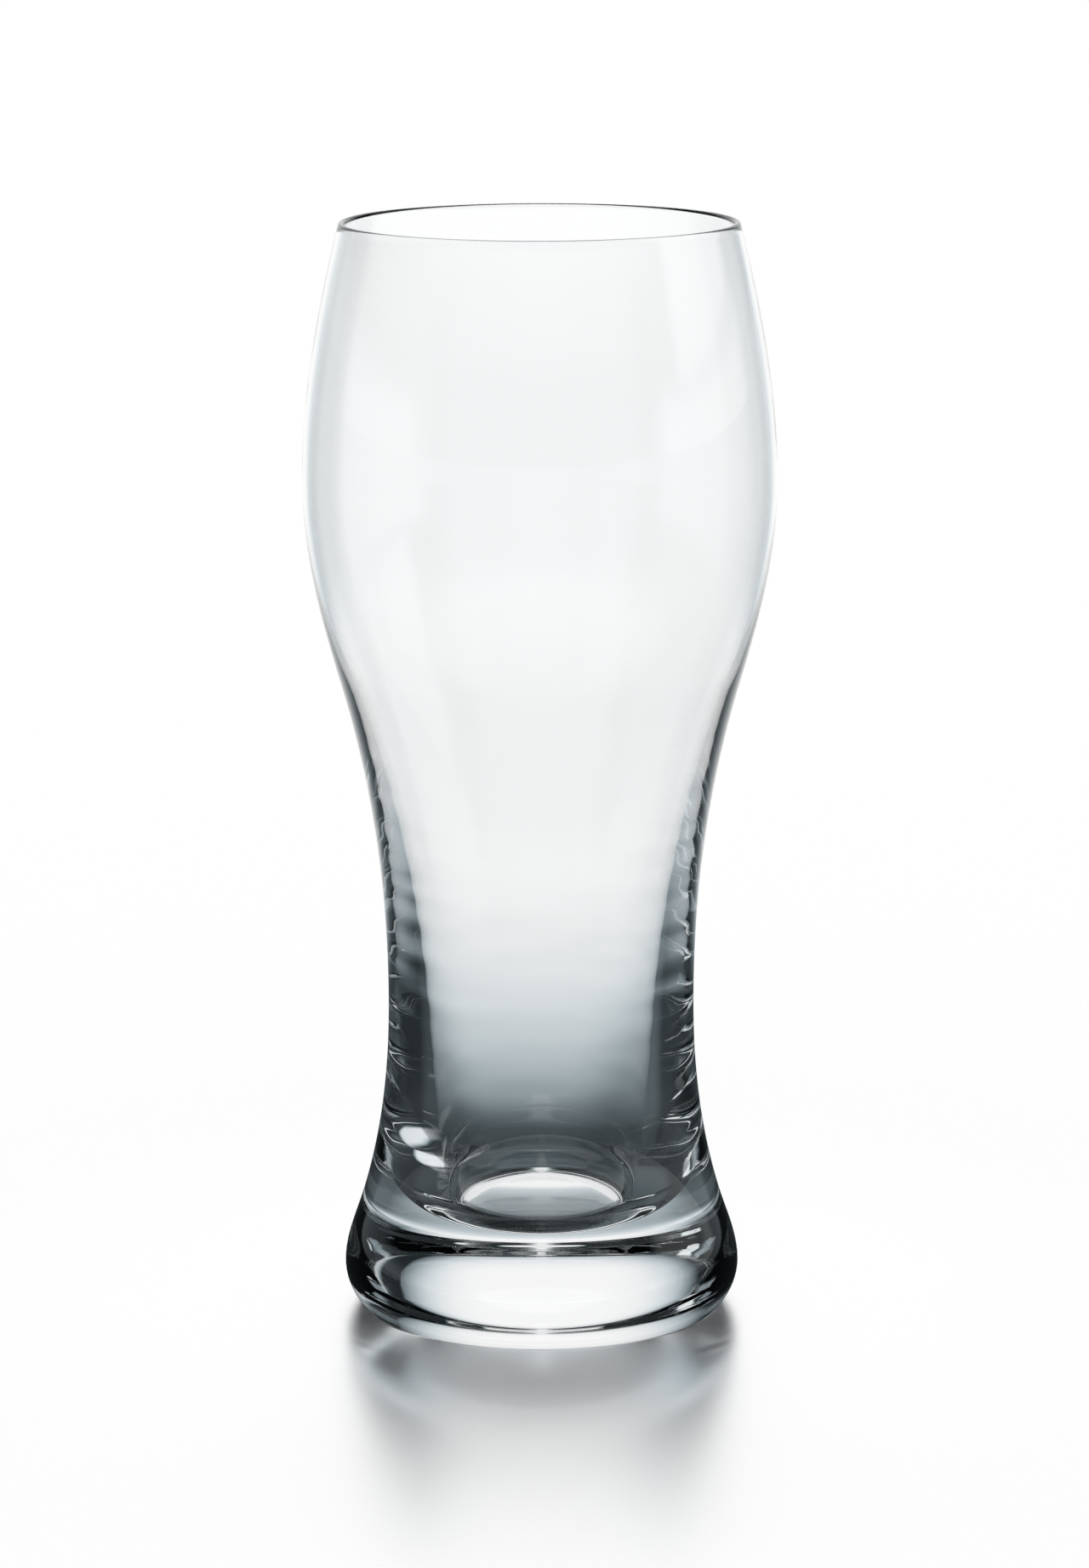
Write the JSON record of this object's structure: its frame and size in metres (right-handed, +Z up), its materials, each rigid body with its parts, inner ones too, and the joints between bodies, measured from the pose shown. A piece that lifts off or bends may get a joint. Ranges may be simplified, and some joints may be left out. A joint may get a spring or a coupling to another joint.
{
  "type": "beer tumbler",
  "caption": "Tall clear glass beer tumbler with a heavy solid foot, a narrow waist, a full bowl and a thin lip drawn slightly inwards.",
  "frame": {"origin": "middle of the resting ring under the foot, on the surface that the glass stands on", "axes": "+Z up along the axis of the glass, from the foot to the lip; X and Y are alike"},
  "size_m": [0.0838, 0.0838, 0.195],
  "materials": {
    "clear_glass": "clear, fire polished"
  },
  "bodies": {
    "root": {"tumbler": "clear_glass"}
  },
  "joints": []
}
